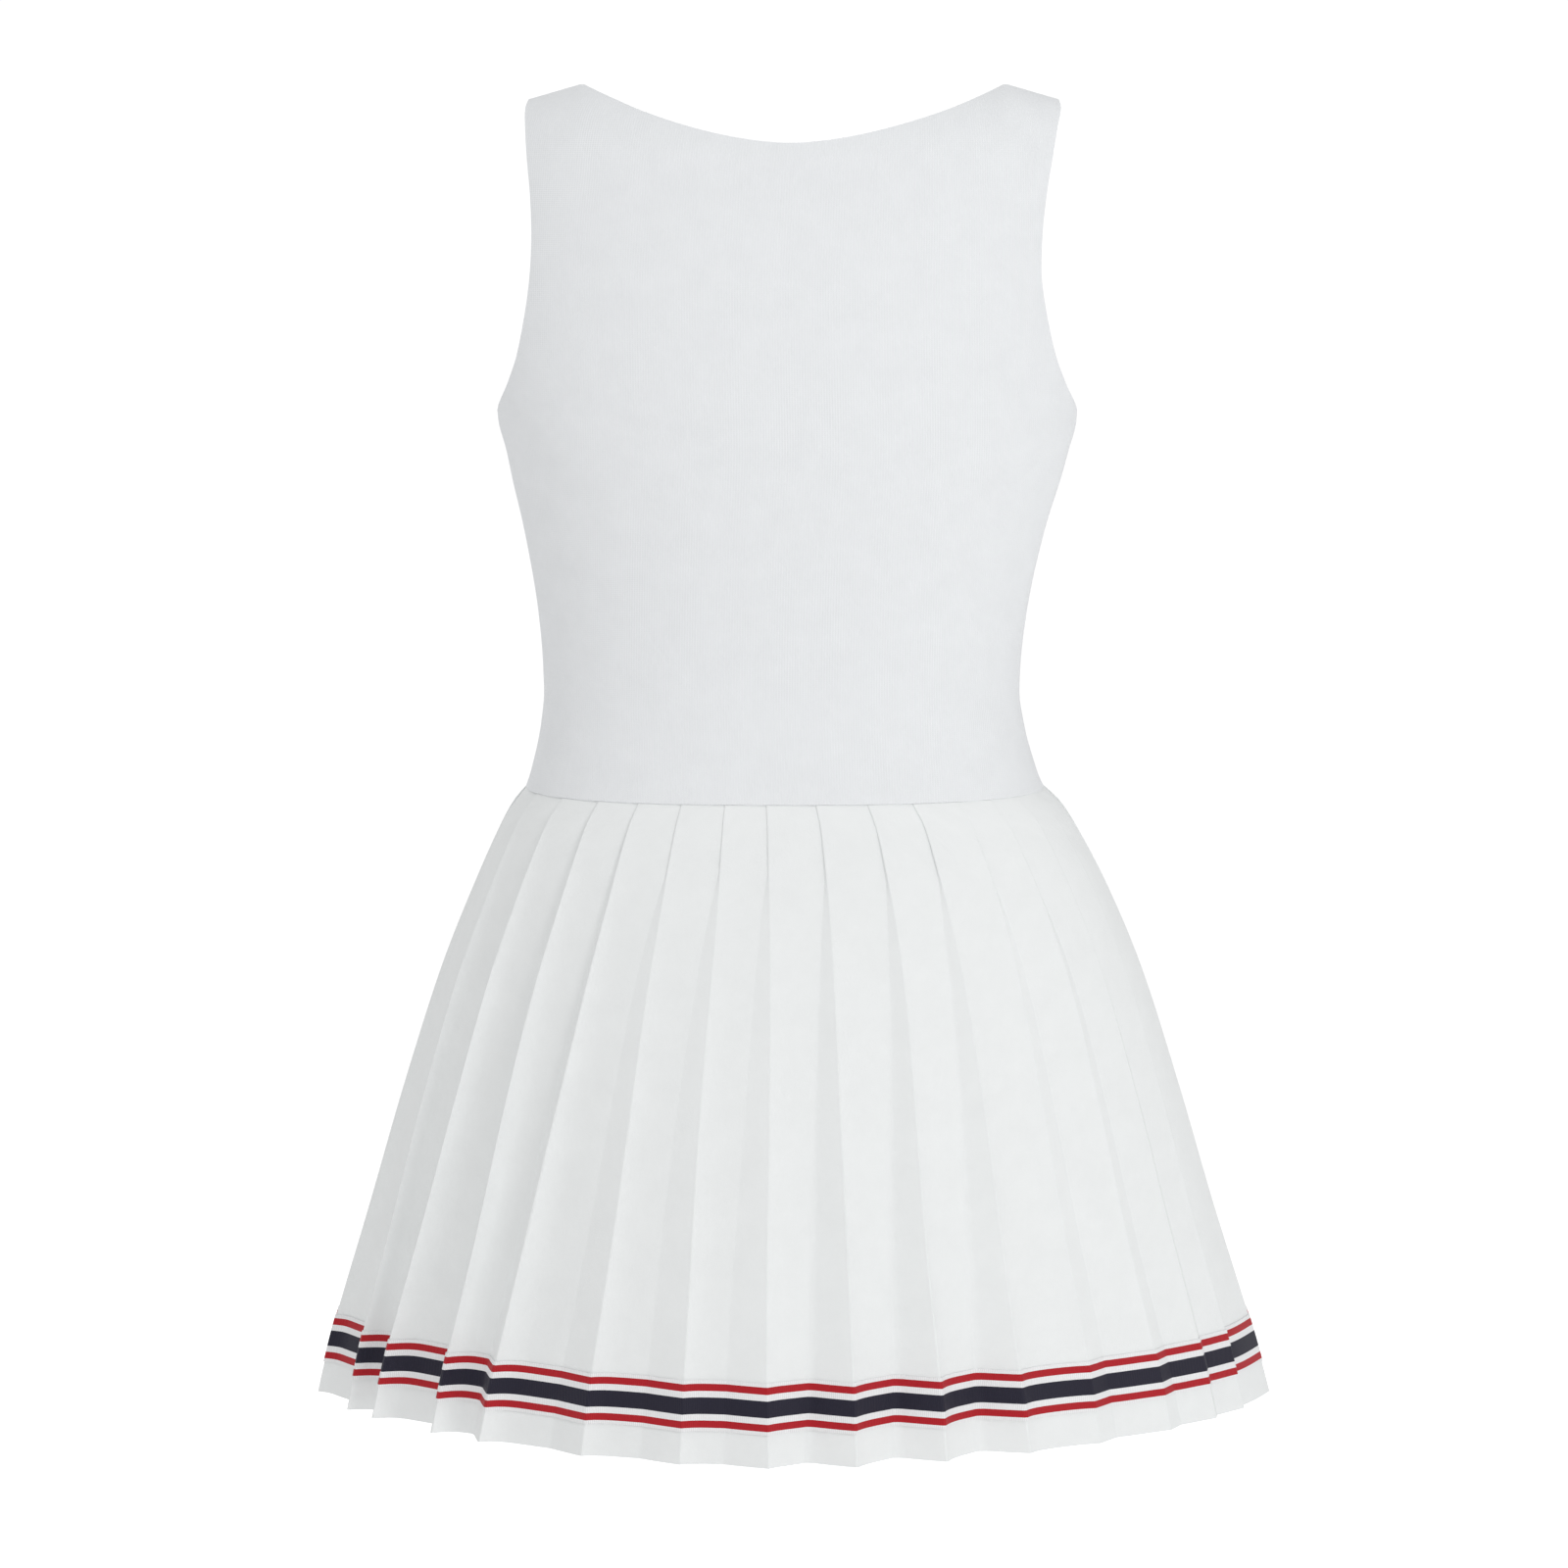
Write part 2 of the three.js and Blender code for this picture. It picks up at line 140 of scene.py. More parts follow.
bpy.ops.object.select_all(action="DESELECT")
FLOOR_HEIGHT = -1.38
bpy.ops.mesh.primitive_plane_add(size=60, location=(0, 0, FLOOR_HEIGHT))
floor = bpy.context.object
floor.name = "floor"
paper, paper_tree, paper_shader = start_material("white studio paper")
paper_shader.inputs["Base Color"].default_value = linear("#f4f4f4")
paper_shader.inputs["Roughness"].default_value = 0.9
paper_shader.inputs["Emission Color"].default_value = (1, 1, 1, 1)
PAPER_GLOW = 0.25
PAPER_EXTRA_SEEN = 0.3
paper_seen = add_node(paper_tree, "ShaderNodeLightPath").outputs["Is Camera Ray"]
amounts = {0: paper_seen, 1: PAPER_EXTRA_SEEN, 2: PAPER_GLOW}
glow = add_node(paper_tree, "ShaderNodeMath", amounts, operation="MULTIPLY_ADD")
paper_tree.links.new(glow.outputs[0], paper_shader.inputs["Emission Strength"])
floor.data.materials.append(paper)
print("floor at", floor.location.z, "m")

# %% [markdown]
# ## The form of the dress
# The CAD model was made from a few tables of measurements in millimetres, and the same tables are repeated
# here, so that the cloth has the form of the solids. They give the half width seen from behind and where its
# middle lies, the width of the figure at the armholes, and the depth and roundness of the cross-section.
# Reading the form back from the solids would be possible, but their walls are coarse and folded, and a table
# can be read at any height.

# %% Tables of the form
MM = 0.001
UNDERARM = -188
YOKE = -116
WAIST_SEAM = -405
RIBBON_TOP = -716
RIBBON_BOTTOM = -744
HEM = -762
NECK_HALF_WIDTH = 121
STRAP_OUTER = 152.2
SHOULDER_DROP = 9
SHOULDER_ROUND = 45
SEAM_GAP = 0.3

# height, half width, middle
OUTLINE = [
    (-9, 152.2, 3.4), (-14, 153.2, 3), (-24, 151.8, 2), (-42, 149.4, 1), (-64, 146.4, 0.2),
    (-86, 144.8, -0.6), (-109, 145.1, -1.3), (-131, 148.2, -1.2), (-154, 153.3, -0.9), (-170, 159.2, -0.7),
    (-188, 166.6, -0.3), (-211, 161.8, -0.2), (-256, 150.1, -1.9), (-302, 141.3, -3), (-347, 137.5, -3.5),
    (-370, 139.9, -3), (-393, 145.7, -2.3), (-405, 150.3, -1.8), (-416, 160, -0.6), (-430, 168.5, 0.2),
    (-462, 184.3, 1.5), (-508, 203.5, 2.1), (-578, 226.3, 2.1), (-648, 247, 2.2), (-716, 268.2, 2.7),
    (-744, 276, 3.1), (-762, 280.5, 3.4),
]
# height, half width of the figure
FIGURE = [(0, 168), (-60, 168), (-110, 169.5), (-150, 171), (-176, 169.5), (-188, 166.8)]
# height, depth of the back, depth of the front, roundness
DEPTHS = [
    (0, 60, 58, 2.3), (-40, 68, 64, 2.3), (-70, 82, 78, 2.3), (-110, 94, 94, 2.3), (-150, 101, 108, 2.3),
    (-190, 104, 119, 2.3), (-230, 103, 123, 2.3), (-270, 99, 117, 2.3), (-310, 94, 106, 2.3),
    (-347, 92, 98, 2.35), (-380, 96, 100, 2.45), (-405, 101, 104, 2.5), (-430, 113, 116, 2.4),
    (-462, 128, 130, 2.25), (-520, 150, 151, 2.08), (-578, 167, 168, 1.95), (-648, 186, 187, 1.83),
    (-716, 203, 204, 1.7), (-762, 213, 214, 1.66),
]
BACK = {"sign": -1, "depth": 1, "neck_drop": 33, "neck_power": 1.75}
FRONT = {"sign": 1, "depth": 2, "neck_drop": 104, "neck_power": 2.3}
print("the form is measured at", len(OUTLINE) + len(DEPTHS), "heights")


# %% [markdown]
# A table is read with a smooth curve through its rows, so that the cloth shows no bend where a row is.

# %% Read a table smoothly
def mix(start, end, share):
    return start + (end - start) * share


def clamp(value, low=0.0, high=1.0):
    return min(high, max(low, value))


def read(table, column, height):
    if height >= table[0][0]:
        return table[0][column]
    if height <= table[-1][0]:
        return table[-1][column]
    row = next(i for i in range(len(table)) if table[i + 1][0] <= height)

    def slope(index):
        above = table[max(index - 1, 0)]
        below = table[min(index + 1, len(table) - 1)]
        return (below[column] - above[column]) / (below[0] - above[0])

    span = table[row + 1][0] - table[row][0]
    t = (height - table[row][0]) / span
    bend = (1 - t) * (slope(row) * span * (1 - t) - slope(row + 1) * span * t)
    return mix(table[row][column], table[row + 1][column], t * t * (3 - 2 * t)) + bend * t


print("half width at the waist:", round(read(OUTLINE, 1, -350), 1), "mm")


# %% [markdown]
# ## Cloth from a grid
# A piece of cloth is a sheet, so each one starts as a grid with as many cells as it needs. Its points are
# then placed by formula, and a Solidify modifier gives the sheet its real thickness on both sides. Cloth
# simulation could drape it, but pressed pleats and a fitted bodice keep their form better when placed.
# The UV map is laid out in metres of flat cloth, so that a weave keeps its real size on every piece.

# %% Make a cloth shell
SMOOTH_ANGLE = 55  # degrees; a sharper bend than this is shaded as an edge


def cloth_shell(name, rows, thickness, material):
    """rows run from the bottom up, each a list of (point in mm, flat place in mm)."""
    across = len(rows[0]) - 1
    up = len(rows) - 1
    bpy.ops.object.select_all(action="DESELECT")
    bpy.ops.mesh.primitive_grid_add(x_subdivisions=across, y_subdivisions=up, size=1)
    piece = bpy.context.object
    piece.name = name
    mesh = piece.data
    cell = []
    for vertex in mesh.vertices:
        column = round((vertex.co.x + 0.5) * across)
        row = round((vertex.co.y + 0.5) * up)
        cell.append(rows[row][column])
        vertex.co = cell[-1][0] * MM
    layer = mesh.uv_layers.active.data
    for loop in mesh.loops:
        flat = cell[loop.vertex_index][1]
        layer[loop.index].uv = (flat[0] * MM, flat[1] * MM)
    wall = piece.modifiers.new("thickness", "SOLIDIFY")
    wall.thickness = thickness * MM
    wall.offset = 0
    bpy.ops.object.modifier_apply(modifier=wall.name)
    bpy.ops.object.shade_smooth_by_angle(angle=math.radians(SMOOTH_ANGLE))
    mesh.materials.append(material)
    print(name, len(mesh.polygons) * 2, "triangles")
    return piece


# %% [markdown]
# Seams and creases are moves of the placed sheet along its own normal, which comes from the neighbouring
# points. A seam pulls the cloth in by about half a millimetre beside it.

# %% Move a sheet along its normals
def sheet_normals(points):
    last_row = len(points) - 1
    last_column = len(points[0]) - 1
    normals = []
    for row, line in enumerate(points):
        normals.append([])
        for column in range(len(line)):
            along = line[min(column + 1, last_column)] - line[max(column - 1, 0)]
            upward = points[min(row + 1, last_row)][column] - points[max(row - 1, 0)][column]
            normals[-1].append(along.cross(upward).normalized())
    return normals


def seam_pull(distance, depth=0.55, width=1.3):
    return -depth * math.exp(-(distance / width) ** 2)


print("pull at a seam and 3 mm from it:", seam_pull(0), round(seam_pull(3), 3), "mm")


# %% [markdown]
# ## The bodice
# A bodice panel is cut to shape and turned under at the neck and the armholes, and it is smooth: a firm
# stretch knit follows the figure with hardly a fold. Its columns run from one side seam to the other, and its
# rows run level up to the shoulder blades and then spread to the neckline and the straps.
# Creases are troughs listed one by one, each with its own ends, depth and width, beside the waist and the
# arms.

# %% Creases of the bodice, seen from behind or in front: start, end, depth and width in mm
BACK_CREASES = [
    ((-132, -352), (-82, -338), 0.9, 8), ((-128, -372), (-60, -366), 0.7, 9),
    ((126, -356), (88, -346), 0.7, 8), ((118, -378), (58, -370), 0.6, 10),
    ((-158, -204), (-118, -236), 0.7, 10), ((156, -206), (124, -232), 0.6, 9),
    ((-24, -388), (10, -330), 0.35, 14),
]
FRONT_CREASES = [
    ((-130, -350), (-86, -334), 0.9, 8), ((128, -354), (80, -340), 0.9, 9),
    ((122, -376), (66, -370), 0.6, 9), ((-120, -380), (-72, -374), 0.6, 9),
    ((-154, -206), (-112, -222), 0.8, 9), ((154, -206), (114, -224), 0.8, 9),
    ((-44, -300), (-30, -352), 0.4, 14), ((46, -304), (34, -350), 0.4, 13),
]
RIDGE_HEIGHT = 0.45  # shares of the depth and the width of the trough beside it
RIDGE_PLACE = 1.9


def crease(x, height, creases):
    total = 0
    for (x1, z1), (x2, z2), depth, width in creases:
        run = (x2 - x1) ** 2 + (z2 - z1) ** 2
        share = ((x - x1) * (x2 - x1) + (height - z1) * (z2 - z1)) / run
        near = clamp(share)
        away = math.hypot(x - mix(x1, x2, near), height - mix(z1, z2, near))
        taper = math.sin(math.pi * clamp(near * 0.8 + 0.1))
        trough = math.exp(-(away / width) ** 2)
        ridge = RIDGE_HEIGHT * math.exp(-((away - RIDGE_PLACE * width) / width) ** 2)
        total += depth * taper * (ridge - trough)
    return total


print("creases:", len(BACK_CREASES), "behind and", len(FRONT_CREASES), "in front")


# %% Place the bodice
HALF_COLUMNS = 48
BODICE_ROWS = 70
STRAP_ROWS = 30
STRAP_CROWDING = 1.35  # rows lie closer together towards the neckline
SIDE_SHARES = [0.0008, 0.003, 0.008]  # extra columns beside a side seam
SEAM_STEPS = [0.7, 1.5, 2.6]  # extra rows beside the waist seam, in mm
WAIST_PULL = 0.3
STRAP_START = 5 / 7  # share of the columns that lies under the neckline
WRAP_POWER = 0.87  # evens out the columns round the side


def shoulder_line(x):
    return -SHOULDER_DROP * clamp((abs(x) - NECK_HALF_WIDTH) / (STRAP_OUTER - NECK_HALF_WIDTH))


def upper_edge(side, x):
    share = abs(x) / NECK_HALF_WIDTH
    if share >= 1:
        return shoulder_line(x)
    return -side["neck_drop"] * (1 - share ** side["neck_power"])


def figure_depth(side, x, height):
    below = min(height - shoulder_line(x), 0)
    over = 1 if below < -SHOULDER_ROUND else math.sqrt(1 - (1 + below / SHOULDER_ROUND) ** 2)
    half_width = read(FIGURE if height > UNDERARM else OUTLINE, 1, height)
    share = min(abs(x) / half_width, 1)
    roundness = read(DEPTHS, 3, height)
    return read(DEPTHS, side["depth"], height) * over * (1 - share ** roundness) ** (1 / roundness)


def spread(column):
    strap_share = NECK_HALF_WIDTH / STRAP_OUTER
    size = abs(column)
    if size < STRAP_START:
        return math.copysign(size / STRAP_START * strap_share, column)
    return math.copysign(mix(strap_share, 1, (size - STRAP_START) / (1 - STRAP_START)), column)


def bodice_point(side, column, height, spread_share):
    wrapped = math.copysign(math.sin(abs(column) * math.pi / 2) ** WRAP_POWER, column)
    x = read(OUTLINE, 1, height) * mix(wrapped, spread(column), spread_share)
    y = 0 if abs(column) == 1 and height <= UNDERARM else figure_depth(side, x, height)
    return Vector((read(OUTLINE, 2, height) + x, side["sign"] * max(y, SEAM_GAP / 2), height))


def bodice_columns(side):
    left = [-1] + [share - 1 for share in SIDE_SHARES]
    inner = [i / HALF_COLUMNS - 1 for i in range(1, 2 * HALF_COLUMNS)]
    right = [1 - share for share in SIDE_SHARES[::-1]] + [1]
    columns = left + inner + right
    return columns if side["sign"] < 0 else columns[::-1]


def bodice_rows(side, creases):
    columns = bodice_columns(side)
    seam = WAIST_SEAM + SEAM_GAP / 2
    heights = [seam] + [seam + step for step in SEAM_STEPS]
    heights += [mix(seam, YOKE, i / BODICE_ROWS) for i in range(1, BODICE_ROWS + 1)]
    points = []
    for height in heights:
        spread_share = clamp((height - UNDERARM) / (YOKE - UNDERARM))
        points.append([bodice_point(side, column, height, spread_share) for column in columns])
    for step in range(1, STRAP_ROWS + 1):
        share = 1 - (1 - step / STRAP_ROWS) ** STRAP_CROWDING
        line = []
        for column in columns:
            top = upper_edge(side, spread(column) * STRAP_OUTER)
            line.append(bodice_point(side, column, mix(YOKE, top, share), 1))
        points.append(line)
    normals = sheet_normals(points)
    rows = []
    for line, directions in zip(points, normals):
        rows.append([])
        flat = 0
        for index, (point, normal) in enumerate(zip(line, directions)):
            flat += (point - line[max(index - 1, 0)]).length
            move = seam_pull(point.z - seam, WAIST_PULL) + crease(point.x, point.z, creases)
            if point.z < UNDERARM:
                move += seam_pull(abs(point.y))
            rows[-1].append((point + normal * move, (flat, point.z)))
        half = flat / 2
        rows[-1] = [(point, (place[0] - half, place[1])) for point, place in rows[-1]]
    return rows


# %% [markdown]
# ### The knit
# The bodice is a fine-ribbed stretch knit of polyester. Its ribs run up and down, about a millimetre apart,
# and are drawn a little coarser than that so that they just show. Each stitch row crosses them. The surface
# is matte with a faint bloom at its edges, which the sheen gives, and its white is slightly cool and uneven.

# %% Knit of the bodice
knit, tree, shader = start_material("fine rib knit, white polyester")
flat = add_node(tree, "ShaderNodeUVMap", uv_map="UVMap").outputs["UV"]
flat_parts = add_node(tree, "ShaderNodeSeparateXYZ", {0: flat})
RIB_WIDTH = 0.0015
COURSE_HEIGHT = 0.0011
across = {0: flat_parts.outputs["X"], 1: math.tau / RIB_WIDTH}
rib_turn = add_node(tree, "ShaderNodeMath", across, operation="MULTIPLY")
rib = add_node(tree, "ShaderNodeMath", {0: rib_turn.outputs[0]}, operation="SINE")
upwards = {0: flat_parts.outputs["Y"], 1: math.tau / COURSE_HEIGHT}
course_turn = add_node(tree, "ShaderNodeMath", upwards, operation="MULTIPLY")
course = add_node(tree, "ShaderNodeMath", {0: course_turn.outputs[0]}, operation="SINE")
both = {0: course.outputs[0], 1: 0.35, 2: rib.outputs[0]}
stitch = add_node(tree, "ShaderNodeMath", both, operation="MULTIPLY_ADD")
stretched = add_node(tree, "ShaderNodeMapping", {"Vector": flat, "Scale": (1, 0.35, 1)})
yarn = add_node(tree, "ShaderNodeTexNoise", {"Vector": stretched.outputs[0], "Scale": 420, "Detail": 3})
uneven = {0: yarn.outputs[0], 1: 2.2, 2: stitch.outputs[0]}
relief = add_node(tree, "ShaderNodeMath", uneven, operation="MULTIPLY_ADD")
bump = add_node(tree, "ShaderNodeBump", {"Height": relief.outputs[0], "Strength": 0.35, "Distance": 0.00012})
mottle = add_node(tree, "ShaderNodeTexNoise", {"Vector": flat, "Scale": 60, "Detail": 4, "Roughness": 0.6})
tint = add_node(tree, "ShaderNodeMix", {"Factor": mottle.outputs[0]}, data_type="RGBA")
tint.inputs[6].default_value = linear("#e5e7e9")
tint.inputs[7].default_value = linear("#edeff1")
tree.links.new(tint.outputs[2], shader.inputs["Base Color"])
tree.links.new(bump.outputs[0], shader.inputs["Normal"])
shader.inputs["Roughness"].default_value = 0.88
shader.inputs["Specular IOR Level"].default_value = 0.25
shader.inputs["Sheen Weight"].default_value = 0.12
shader.inputs["Sheen Roughness"].default_value = 0.6
print(knit.name, "has", len(tree.nodes), "nodes")

# %% Bodice back and front
KNIT_THICKNESS = 0.9
bodice_back = cloth_shell("bodice_back_cloth", bodice_rows(BACK, BACK_CREASES), KNIT_THICKNESS, knit)
bodice_front = cloth_shell("bodice_front_cloth", bodice_rows(FRONT, FRONT_CREASES), KNIT_THICKNESS, knit)

# %% [markdown]
# ## The pleats
# A pleat is a fold that is pressed in: the cloth comes up to a sharp proud edge, turns back under it, and
# turns again into the next face. At the waist seam the folds lie flat and lap by about eight millimetres,
# and towards the hem they open, and that is how a gathered width of cloth becomes a flared skirt. In the
# middle of the back the folds have opened into soft slopes at the hem, and near the side seams they stay
# crisp. A simulation would find such folds by itself, but slowly and never the same ones as in the picture,
# so a table says where each fold lies. The lengths printed below show how much cloth each height takes up.
# Each fold is drawn in section with two small arcs joined by a straight riser: the inner turn and the proud
# edge. One formula covers a fold that laps and one that has opened.

# %% Table of the folds
# share of the half width at the seam, share at the hem, depth and lap at the hem in mm, and the way that the
# proud edge faces, -1 for left and 1 for right; a lap below zero is an open fold
BACK_FOLDS = [
    (-0.997, -0.996, 8, 1.5, -1), (-0.949, -0.924, 16, -1, -1), (-0.846, -0.868, 18, -2, -1),
    (-0.706, -0.74, 18, -5, -1), (-0.553, -0.64, 13.5, -8, -1), (-0.389, -0.431, 8.5, -15, -1),
    (-0.225, -0.234, 7.2, -16, -1), (-0.068, -0.058, 6.6, -16, -1), (0.119, 0.118, 15, -14, -1),
    (0.314, 0.298, 18, -13, -1), (0.485, 0.467, 17, -12, -1), (0.65, 0.619, 6, -10, 1),
    (0.78, 0.77, 4.5, -8, 1), (0.885, 0.868, 4, -4, 1), (0.955, 0.932, 4, -2, 1), (0.997, 0.996, 8, 1.5, 1),
]
FRONT_FOLDS = [
    (-0.997, -0.996, 8, 1.5, -1), (-0.952, -0.93, 11, 0, -1), (-0.876, -0.86, 13, -3, -1),
    (-0.764, -0.752, 12, -7, -1), (-0.618, -0.62, 10, -12, -1), (-0.455, -0.448, 9, -15, -1),
    (-0.276, -0.268, 8, -16, -1), (-0.092, -0.09, 7.4, -15, -1), (0.092, 0.086, 7.6, -16, 1),
    (0.276, 0.274, 8.4, -17, 1), (0.455, 0.456, 9, -16, 1), (0.618, 0.61, 10, -12, 1),
    (0.764, 0.758, 12, -7, 1), (0.876, 0.868, 11, -2, 1), (0.952, 0.934, 8, 1, 1), (0.997, 0.996, 8, 1.5, 1),
]
print("folds behind and in front:", len(BACK_FOLDS), len(FRONT_FOLDS))


# %% [markdown]
# The plan of the skirt at one height is a superellipse. It is walked once in small steps, so that a fold can
# be drawn by its distance along the cloth and its distance out from it, however the skirt curves.

# %% Walk the plan of the skirt
PLAN_STEPS = 240


def plan_walk(side, height):
    half_width = read(OUTLINE, 1, height)
    middle = read(OUTLINE, 2, height)
    depth = read(DEPTHS, side["depth"], height)
    roundness = read(DEPTHS, 3, height)
    walk = []
    length = 0
    for step in range(PLAN_STEPS + 1):
        turn = math.pi * (step / PLAN_STEPS - 0.5)
        share_x = math.copysign(abs(math.sin(turn)) ** (2 / roundness), turn)
        share_y = max(math.cos(turn), 0) ** (2 / roundness)
        at = Vector((middle + half_width * share_x, side["sign"] * depth * share_y, height))
        slope_x = math.copysign(abs(share_x) ** (roundness - 1), turn) / half_width
        slope_y = side["sign"] * share_y ** (roundness - 1) / depth
        out = Vector((slope_x, slope_y, 0)).normalized()
        if walk:
            length += (at - walk[-1][1]).length
        walk.append((length, at, out))
    return walk, roundness


def plan_point(walk, distance, outwards):
    total = walk[-1][0]
    wanted = clamp(distance, 0, total)
    low = 0
    high = len(walk) - 1
    while high - low > 1:
        half = (low + high) // 2
        if walk[half][0] <= wanted:
            low = half
        else:
            high = half
    share = (wanted - walk[low][0]) / (walk[high][0] - walk[low][0])
    at = walk[low][1].lerp(walk[high][1], share)
    out = walk[low][2].lerp(walk[high][2], share).normalized()
    return at + out * outwards


def distance_of(walk, roundness, share):
    turn = math.copysign(math.asin(abs(share) ** (roundness / 2)), share)
    step = (turn / math.pi + 0.5) * PLAN_STEPS
    low = min(int(step), PLAN_STEPS - 1)
    return mix(walk[low][0], walk[low + 1][0], step - low)


print("back panel at the hem:", round(plan_walk(BACK, HEM)[0][-1][0]), "mm round")


# %% Section of one fold
ARC_POINTS = 5


def fold_section(depth, lap, edge_radius, turn_radius):
    """Points (along, out) from the inner turn to the proud edge, which lies at 0, 0 and faces left."""
    along = edge_radius + turn_radius - lap
    rise = depth - edge_radius - turn_radius
    reach = math.hypot(along, rise)
    lean = math.atan2(rise, along) + math.asin(clamp((edge_radius + turn_radius) / reach))
    arcs = []
    for step in range(ARC_POINTS):
        angle = lean * step / (ARC_POINTS - 1)
        arcs.append((lap - turn_radius * (1 - math.sin(angle)), turn_radius * (1 - math.cos(angle)) - depth))
    start = len(arcs)
    for step in range(ARC_POINTS):
        angle = lean * (1 - step / (ARC_POINTS - 1))
        arcs.append((edge_radius * (1 - math.sin(angle)), edge_radius * (math.cos(angle) - 1)))
    before = arcs[start - 1]
    after = arcs[start]
    riser = [(mix(before[0], after[0], share), mix(before[1], after[1], share)) for share in (1 / 3, 2 / 3)]
    return arcs[:start] + riser + arcs[start:]


print("points in a fold:", len(fold_section(3, 9, 0.6, 0.6)))


# %% [markdown]
# Going down, a fold changes in three ways. The lap that it has at the seam is given up within a few
# centimetres and the fold opens, it gets deeper, and its pressed edge and its inner turn get rounder. The
# face beside a proud edge sags as well, by half as much where a fold in the right half faces left.

# %% Shape of one fold at one share of the fall from seam to hem
FOLD_DEPTH_AT_SEAM = 1.0
FOLD_LAP_AT_SEAM = 8
LAP_FADES_OVER = 0.08
OPENING_POWER = 0.8
DEEPENING_POWERS = (0.9, 1.3)  # at the left side, and everywhere else
LEFT_SIDE = -0.5
LEAST_RADIUS = 0.2
EDGE_RADII = {-1: 2.2, 1: 1.2}
TURN_RADII = (2.2, 12)
TURN_PER_LAP = 0.8
RIGHT_SAG = 0.5
HEM_EASE = 0.3  # share of the sag that is lost towards the hem
HEM_EASE_POWER = 8


def opened_share(fall):
    return 1 - math.exp(-fall / LAP_FADES_OVER)


def fold_shape(at_hem, depth, lap, faces, fall):
    opened = opened_share(fall)
    power = DEEPENING_POWERS[0] if at_hem < LEFT_SIDE else DEEPENING_POWERS[1]
    depth_here = mix(FOLD_DEPTH_AT_SEAM, depth, fall ** power)
    lap_here = FOLD_LAP_AT_SEAM * (1 - opened) + lap * fall ** OPENING_POWER
    edge_radius = mix(LEAST_RADIUS, EDGE_RADII[faces], fall)
    turn_radius = mix(LEAST_RADIUS, clamp(TURN_RADII[0] - TURN_PER_LAP * lap, *TURN_RADII), fall)
    turn_room = depth_here / 2 - edge_radius + max(0, -lap_here) / 2
    points = fold_section(depth_here, lap_here, edge_radius, min(turn_radius, turn_room))
    if faces > 0:
        points = [(-along, out) for along, out in reversed(points)]
    eased = 1 - HEM_EASE * fall ** HEM_EASE_POWER
    sag = eased * depth_here * opened * (RIGHT_SAG if faces < 0 < at_hem else 1)
    return points, sag


print("sag of a fold 12 mm deep, halfway down:", round(fold_shape(-0.6, 12, -8, -1, 0.5)[1], 1), "mm")


# %% [markdown]
# A face runs from one fold to the next. Beside a proud edge it falls quickly for a few millimetres, because
# the pressed edge springs up, and then slopes gently. That is what draws the bright line along each pleat.

# %% Face between two folds
FACE_POINTS = 12
CROWDING = 1.5  # points lie closer together beside the sagging end
END_SAG = 2.8


def face_points(start, end, start_sag, end_sag, reach=1):
    width = end[0] - start[0]
    points = []
    for step in range(1, FACE_POINTS + 1):
        even = step / (FACE_POINTS + 1)
        if start_sag and not end_sag:
            share = even ** CROWDING
        elif end_sag and not start_sag:
            share = 1 - (1 - even) ** CROWDING
        else:
            share = (1 - math.cos(math.pi * even)) / 2
        out = mix(start[1], end[1], share)
        out -= start_sag * (1 - share) * (1 - math.exp(-share * width / reach))
        out -= END_SAG * end_sag * share ** 2 * (1 - share)
        points.append((mix(start[0], end[0], share), out))
    return points


flat_face = face_points((0, 0), (30, -8), 0, 0)
print("points in a face:", len(flat_face))


# %% [markdown]
# The line of cloth at one height is every fold and every face in turn, walked along the plan. Each proud edge
# sways a little on its way down, so that no fold is dead straight, except the two that hide the side seams.

# %% Line of the pleated cloth at one height
SWAY = 0.8
SWAY_LENGTH = 61
SWAY_SHIFT = 2.4  # radians from one fold to the next
BESIDE_SIDE_SEAM = 0.98
REACH_IN_MIDDLE = 10
REACH_AT_SIDES = 4
REACH_AT_SEAM = 0.4
STEPPED_SAG = 0.3
SKIRT_PULL = 0.5
SKIRT_PULL_WIDTH = 2.5


def pleated_line(side, folds, height):
    walk, roundness = plan_walk(side, height)
    total = walk[-1][0]
    fall = clamp((WAIST_SEAM - height) / (WAIST_SEAM - HEM))
    sections = []
    for index, (at_seam, at_hem, depth, lap, faces) in enumerate(folds):
        shift = distance_of(walk, roundness, mix(at_seam, at_hem, fall))
        if abs(at_hem) <= BESIDE_SIDE_SEAM:
            shift += math.sin(height / SWAY_LENGTH + index * SWAY_SHIFT) * math.sin(math.pi * fall) * SWAY
        points, sag = fold_shape(at_hem, depth, lap, faces, fall)
        points = [(clamp(shift + along, 0, total), out) for along, out in points]
        sections.append((points, sag, faces))
    line = [(0, sections[0][0][0][1])]
    line += face_points(line[0], sections[0][0][0], 0, 0)
    for index, (points, sag, faces) in enumerate(sections):
        line += points
        if index + 1 < len(sections):
            after, after_sag, after_faces = sections[index + 1]
            reach = mix(REACH_IN_MIDDLE, REACH_AT_SIDES, folds[index][1] ** 2)
            reach *= mix(REACH_AT_SEAM, 1, opened_share(fall))
            start_sag = sag if faces < 0 else 0
            end_sag = after_sag * (1 if faces < 0 else STEPPED_SAG) if after_faces > 0 else 0
            line += face_points(points[-1], after[0], start_sag, end_sag, reach)
    end = (total, sections[-1][0][-1][1])
    line += face_points(line[-1], end, 0, 0)
    line.append(end)
    pulled = seam_pull(WAIST_SEAM - height, SKIRT_PULL, SKIRT_PULL_WIDTH)
    return [plan_point(walk, along, out + pulled) for along, out in line]


def line_length(line):
    return sum((line[i + 1] - line[i]).length for i in range(len(line) - 1))


